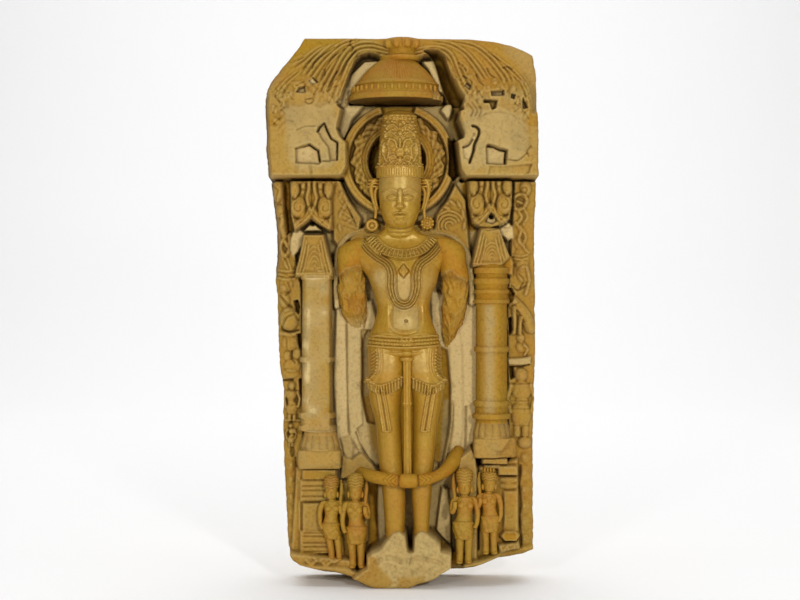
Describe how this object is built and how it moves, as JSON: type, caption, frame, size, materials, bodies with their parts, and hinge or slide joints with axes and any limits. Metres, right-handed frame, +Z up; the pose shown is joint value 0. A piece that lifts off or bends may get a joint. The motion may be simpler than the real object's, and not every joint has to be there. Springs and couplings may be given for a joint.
{
  "type": "carved stone stele",
  "caption": "Broken upright stone slab with a standing crowned god in high relief under a parasol and a tree, between pillars, attendants and elephant panels.",
  "frame": {"origin": "middle of the underside of the part's box, level with the flat footing", "axes": "+Z up along the slab, +Y from the carved face to the rough back, +X to the viewer's right"},
  "size_m": [0.549, 0.224, 1.098],
  "materials": {
    "sandstone": "dressed ochre sandstone, burnished on the god's body, worn and broken in places"
  },
  "bodies": {
    "root": {"stele": "sandstone"}
  },
  "joints": []
}
